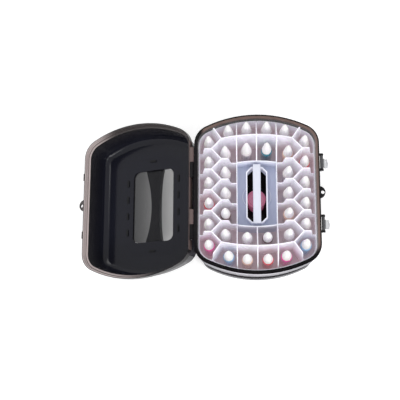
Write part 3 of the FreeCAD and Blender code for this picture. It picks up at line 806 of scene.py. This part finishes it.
@dataclass
class Tray(Assembly):
    """Lift-out tray with its honeycomb, well and lifting bar."""

    mouth_half: tuple[float, float] = (0.015504, 0.04505)
    mouth_chamfer: float = 0.0085
    lip_wall: float = 0.0019
    lip_span: tuple[float, float] = (0.0945, 0.1104)
    lip_round: float = 0.0003
    lip_near: float = 1e-5

    def dress(self) -> None:
        """Paint the tray and raise the lip round the well's mouth."""
        for name, obj in self.nodes.items():
            if name.startswith("tray_"):
                self.paint(obj, {"tray_well": WELL, "tray_handle": BAR}.get(name, MILKY))
        self.settle("mouth_lip", self.lip(), LIP, "tray_well", "milky_plastic", False)

    def lip(self) -> bmesh.types.BMesh:
        """Eight-sided lip round the well's mouth, up to the bar.

        Returns:
            The lip in place.
        """
        half_x, half_y = (h + self.lip_wall for h in self.mouth_half)
        low, high = self.lip_span
        mesh = plate(half_x, half_y, low, self.mouth_chamfer, 1)
        bmesh.ops.inset_region(mesh, faces=mesh.faces[:], thickness=self.lip_wall, use_even_offset=True,
                               use_boundary=True)
        bmesh.ops.delete(mesh, geom=[largest(mesh)], context="FACES_ONLY")
        raised = bmesh.ops.extrude_face_region(mesh, geom=mesh.faces[:], use_keep_orig=True)["geom"]
        top = [v for v in raised if isinstance(v, bmesh.types.BMVert)]
        bmesh.ops.translate(mesh, verts=top, vec=UP * (high - low))
        bmesh.ops.recalc_face_normals(mesh, faces=mesh.faces)
        rim = [e for e in mesh.edges if all(v.co.z > high - self.lip_near for v in e.verts)
               and e.calc_face_angle(0.0) > SHARP_ANGLE]
        bmesh.ops.bevel(mesh, geom=rim, offset=self.lip_round, affect="EDGES", segments=2, profile=0.5, material=-1)
        return mesh


@dataclass
class Contents(Assembly):
    """Bottles with their caps, and the jar under the tray."""

    bottle: Profile = tuple([(0.0005, 0.01), (0.55, 0.0)] + arc((0.80, 0.045), (0.20, 0.045), -90, 0, 6)
                            + [(1.0, 0.60), (1.0, 0.86)] + arc((0.82, 0.92), (0.18, 0.075), 0, 90, 6)
                            + [(0.6, 1.0), (0.0005, 1.0)])
    cap: Profile = tuple([(0.0005, 0.0), (0.84, 0.0), (0.90, 0.012), (0.92, 0.125)]
                         + arc((0.87, 0.135), (0.05, 0.012), -20, 70, 4)
                         + [(0.78, 0.36), (0.62, 0.60), (0.45, 0.80), (0.34, 0.915)]
                         + arc((0.0, 0.915), (0.315, 0.085), 8, 89.9, 7))
    jar_cup: Profile = tuple([(0.0005, 0.03), (0.82, 0.0)] + arc((0.88, 0.06), (0.12, 0.06), -90, 0, 5) + [(1.0, 0.94)]
                             + arc((0.96, 0.96), (0.04, 0.04), 0, 90, 3) + [(0.0005, 1.0)])
    jar_cap: Profile = tuple([(0.0005, 0.0), (0.97, 0.0), (1.0, 0.03), (1.0, 0.68)]
                             + arc((0.94, 0.68), (0.06, 0.07), 0, 90, 4)
                             + [(0.83, 0.76), (0.80, 0.95), (0.76, 1.0), (0.42, 1.0), (0.40, 0.95), (0.30, 0.94),
                                (0.0005, 0.94)])

    def dress(self) -> None:
        """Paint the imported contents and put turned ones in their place."""
        groups = [("glass_" + c, "bottles_" + c, self.bottle, bottle_finish(c), "bottle_" + c) for c in BOTTLE_TINTS]
        groups += [("cap_cones", "bottle_caps", self.cap, CAPS, "cap_plastic"),
                   ("jar_body", "jar_cup", self.jar_cup, JAR, "jar_plastic"),
                   ("jar_top", "jar_cap", self.jar_cap, JAR, "jar_lid_plastic")]
        for name, node, profile, finish, slot in groups:
            self.paint(self.nodes[node], finish)
            mesh = bmesh.new()
            for low, high in islands(self.nodes[node].data):
                Turned(profile).add(mesh, low, high)
            self.settle(name, mesh, finish, node, slot, True)


@dataclass
class Studio:
    """Floor, lights, background and camera."""

    lens: float = 81.0
    eye: Point = (-0.0227, -0.3531, 1.5359)
    right: Point = (0.9988, 0.0030, -0.0484)
    upward: Point = (0.0084, 0.9720, 0.2347)
    back: Point = (0.0477, -0.2348, 0.9709)
    floor_level: float = -0.0004
    floor_lift: float = 0.36
    floor_size: float = 4.0
    floor_tints: tuple[RGB, RGB] = ((0.93, 0.93, 0.93), (0.95, 0.95, 0.95))
    floor_cells: float = 4.0
    sensor: float = 36.0
    far: float = 20.0
    middle: Point = (0.0, 0.0, 0.1)
    lid_middle: Point = (-0.15, 0.05, 0.05)
    plain: float = 0.68

    def camera(self) -> None:
        """Make the photo's camera."""
        data = bpy.data.cameras.new("camera")
        data.lens = self.lens
        data.sensor_width = self.sensor
        data.clip_end = self.far
        obj = bpy.data.objects.new("camera", data)
        turn = Matrix((self.right, self.upward, self.back)).transposed()
        obj.matrix_world = Matrix.Translation(self.eye) @ turn.to_4x4()
        bpy.context.scene.collection.objects.link(obj)
        bpy.context.scene.camera = obj

    def floor(self) -> None:
        """Make the pale floor, lifted a little towards white where the camera sees it."""
        mesh = bmesh.new()
        bmesh.ops.create_grid(mesh, x_segments=2, y_segments=2, size=self.floor_size)
        data = bpy.data.meshes.new("floor")
        mesh.to_mesh(data)
        mesh.free()
        obj = bpy.data.objects.new("floor", data)
        obj.location.z = self.floor_level
        bpy.context.scene.collection.objects.link(obj)
        made = bpy.data.materials.new("floor")
        made.use_nodes = True
        graph = Graph(made.node_tree)
        lift = graph.blend(graph.shown(), (0.0, 0.0, 0.0), (self.floor_lift,) * 3)
        colour = graph.blend(graph.noise(self.floor_cells), *self.floor_tints)
        shader = graph.node("ShaderNodeBsdfPrincipled", {
            "Base Color": colour, "Roughness": 0.8, "Specular IOR Level": 0.1,
            "Emission Color": lift, "Emission Strength": 1.0})
        graph.node("ShaderNodeOutputMaterial", {"Surface": Sock(graph, shader.outputs["BSDF"])})
        data.materials.append(made)

    def light(self, name: str, place: Point, aim: Point, size: tuple[float, float], power: float) -> None:
        """Add a soft area light.

        Args:
            name: Light's name.
            place: Where it stands.
            aim: Point that it faces.
            size: Width and height.
            power: Watts.
        """
        data = bpy.data.lights.new(name, "AREA")
        data.shape = "RECTANGLE"
        data.size, data.size_y = size
        data.energy = power
        obj = bpy.data.objects.new(name, data)
        obj.location = place
        obj.rotation_euler = (Vector(place) - Vector(aim)).to_track_quat("Z", "Y").to_euler()
        bpy.context.scene.collection.objects.link(obj)

    def world(self) -> None:
        """Make the background: white where it is seen or mirrored, and plain light to surfaces."""
        scene = bpy.context.scene
        scene.world = bpy.data.worlds.new("studio")
        scene.world.use_nodes = True
        graph = Graph(scene.world.node_tree)
        level = self.plain + graph.shown() * (1.0 - self.plain)
        shade = graph.node("ShaderNodeBackground", {"Color": WHITE, "Strength": level})
        graph.node("ShaderNodeOutputWorld", {"Surface": Sock(graph, shade.outputs["Background"])})

    def build(self) -> None:
        """Make everything that isn't the object."""
        bpy.context.scene.view_settings.view_transform = "Standard"
        self.camera()
        self.floor()
        self.world()
        self.light("softbox", (-0.9, 0.9, 1.35), self.middle, (1.0, 0.8), 8.0)
        self.light("front", (-0.25, -1.50, 1.15), self.middle, (1.2, 0.6), 12.0)
        self.light("strip", (0.70, -0.75, 1.05), self.lid_middle, (0.22, 0.08), 5.5)


def main() -> None:
    """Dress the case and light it."""
    logging.basicConfig(level=logging.INFO)
    palette = Palette(LidFrame.from_joint(frame["joints"]))
    for assembly in (Case, Tray, Contents):
        assembly(frame["nodes"], palette).dress()
    Studio().build()


if __name__ == "__main__":
    main()
